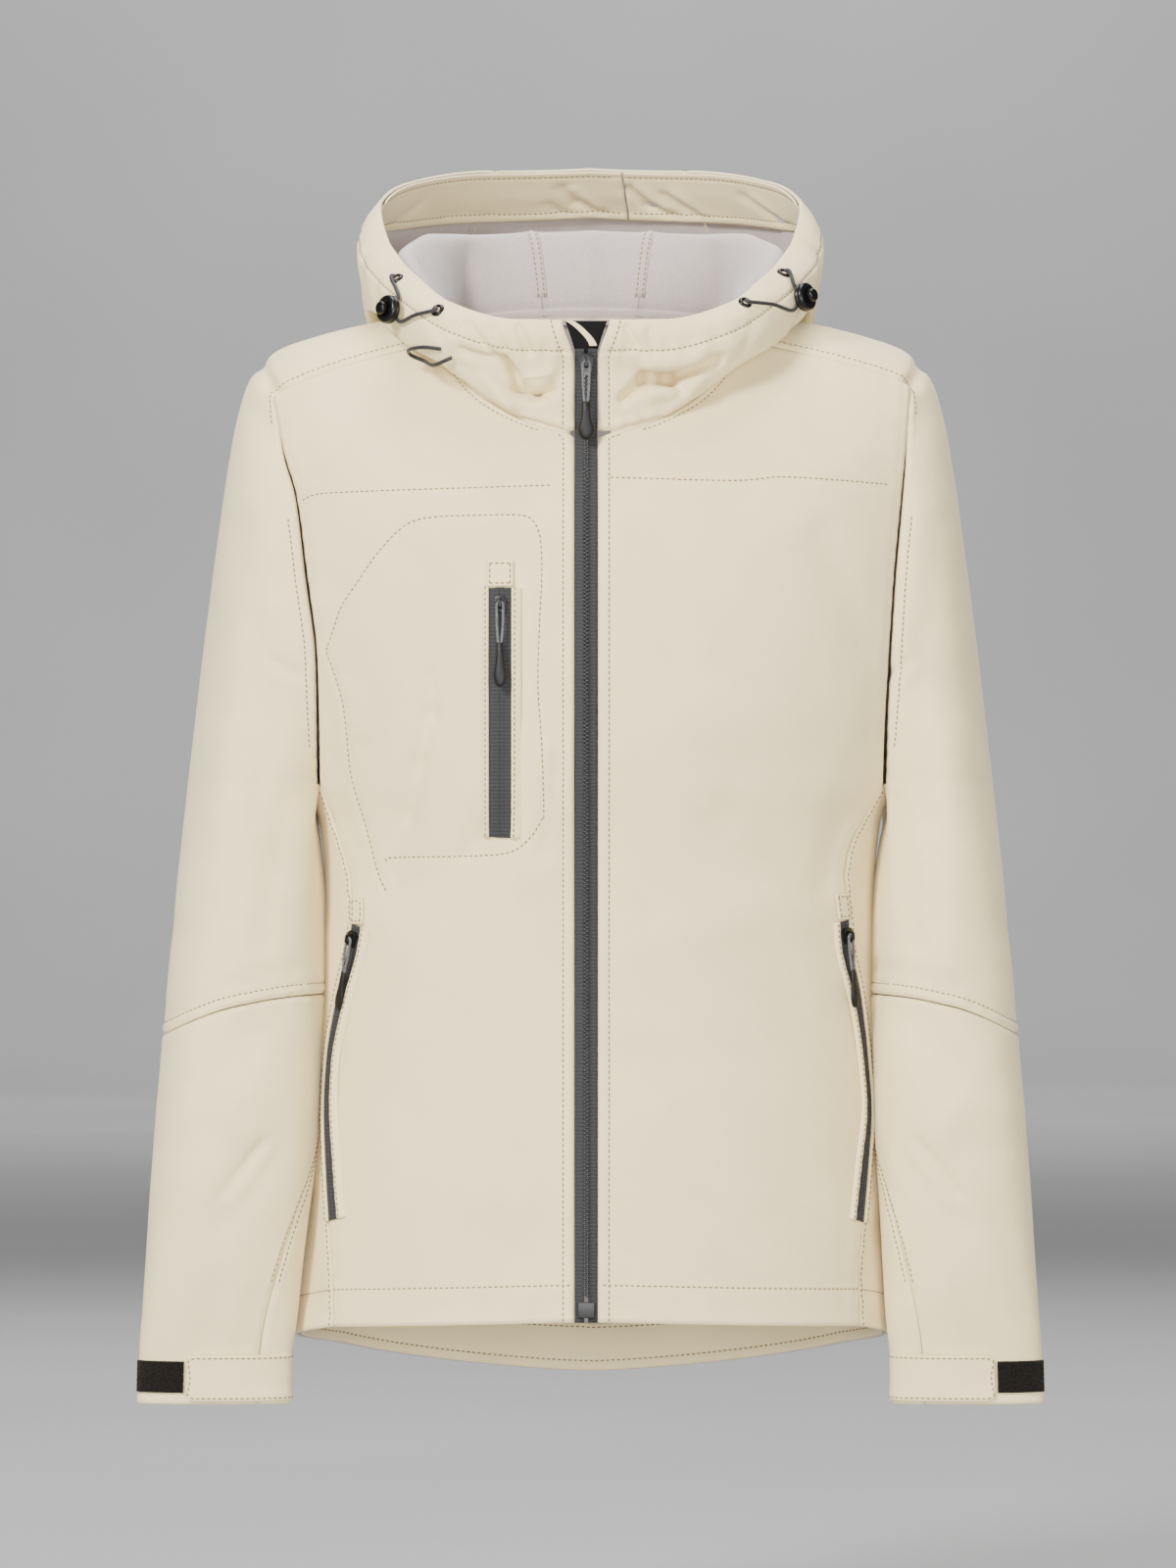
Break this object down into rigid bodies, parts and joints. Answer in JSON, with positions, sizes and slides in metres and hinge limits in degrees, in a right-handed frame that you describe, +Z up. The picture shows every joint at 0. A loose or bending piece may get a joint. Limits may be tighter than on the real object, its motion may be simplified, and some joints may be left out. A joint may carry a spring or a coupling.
{
  "type": "hooded softshell jacket",
  "caption": "Hooded zip-front softshell jacket, filled out as worn, with zipped pockets, raglan-style shoulder pieces and tabbed cuffs; the hood is down.",
  "frame": {"origin": "the middle of the shoulders, level with the shoulder seams, where the wearer carries the jacket", "axes": "+Z up, the front towards -Y, the wearer's left towards +X"},
  "size_m": [0.5874, 0.3286, 0.8141],
  "materials": {
    "softshell": "cream bonded cloth, matt",
    "zip_tape": "dark grey woven tape",
    "moulded_black": "black moulded plastic",
    "hook_and_loop": "dark brown-black pile",
    "chin_guard": "black brushed knit",
    "pull_cord": "grey braided cord",
    "drawcord": "black elastic cord"
  },
  "bodies": {
    "root": {"front_right": "softshell", "side_panel_right": "softshell", "front_left": "softshell", "side_panel_left": "softshell", "back": "softshell", "sleeve_upper_right": "softshell", "sleeve_lower_right": "softshell", "sleeve_under_right": "softshell", "sleeve_upper_left": "softshell", "sleeve_lower_left": "softshell", "sleeve_under_left": "softshell", "hood_right": "softshell", "hood_left": "softshell", "hood_middle": "softshell", "hood_facing_right": "softshell", "hood_facing_left": "softshell", "hem_facing_back": "softshell", "chin_guard_lip": "softshell", "chest_zip_garage": "softshell", "pocket_garage_right": "softshell", "pocket_garage_left": "softshell", "cuff_tab_right": "softshell", "cuff_tab_left": "softshell", "zip_tape_right": "zip_tape", "zip_tape_left": "zip_tape", "zip_chain": "zip_tape", "chest_zip": "zip_tape", "pocket_zip_right": "zip_tape", "pocket_zip_left": "zip_tape", "zip_box": "moulded_black", "chest_slider": "moulded_black", "pocket_slider_right": "moulded_black", "pocket_slider_left": "moulded_black", "zip_slider": "moulded_black", "eyelet_right_upper": "moulded_black", "eyelet_right_lower": "moulded_black", "eyelet_left_upper": "moulded_black", "eyelet_left_lower": "moulded_black", "cord_lock_right": "moulded_black", "cord_plunger_right": "moulded_black", "cord_lock_left": "moulded_black", "cord_plunger_left": "moulded_black", "cuff_patch_right": "hook_and_loop", "cuff_patch_left": "hook_and_loop", "chin_guard": "chin_guard", "drawcord_right": "drawcord", "drawcord_left": "drawcord", "elastic_end": "drawcord"},
    "pull_chest": {"pull_cord_chest": "pull_cord", "pull_end_chest": "moulded_black"},
    "pull_pocket_right": {"pull_cord_pocket_right": "pull_cord", "pull_end_pocket_right": "moulded_black"},
    "pull_pocket_left": {"pull_cord_pocket_left": "pull_cord", "pull_end_pocket_left": "moulded_black"},
    "pull_front": {"pull_cord_front": "pull_cord", "pull_end_front": "moulded_black"}
  },
  "joints": [
    {"name": "pull_chest_swing", "type": "hinge", "parent": "root", "child": "pull_chest", "pos_m": [-0.05767, -0.12844, -0.16278], "axis": [-0.9937, 0.1114, -0.0089], "range_deg": [0, 150]},
    {"name": "pull_pocket_right_swing", "type": "hinge", "parent": "root", "child": "pull_pocket_right", "pos_m": [-0.15562, -0.06906, -0.37746], "axis": [-0.626, 0.7279, 0.2797], "range_deg": [0, 150]},
    {"name": "pull_pocket_left_swing", "type": "hinge", "parent": "root", "child": "pull_pocket_left", "pos_m": [0.16765, -0.06542, -0.3755], "axis": [-0.6496, -0.7443, -0.155], "range_deg": [0, 150]},
    {"name": "pull_front_swing", "type": "hinge", "parent": "root", "child": "pull_front", "pos_m": [-0.0028, -0.1058, -0.00825], "axis": [-1, 0, 0], "range_deg": [0, 150]}
  ]
}
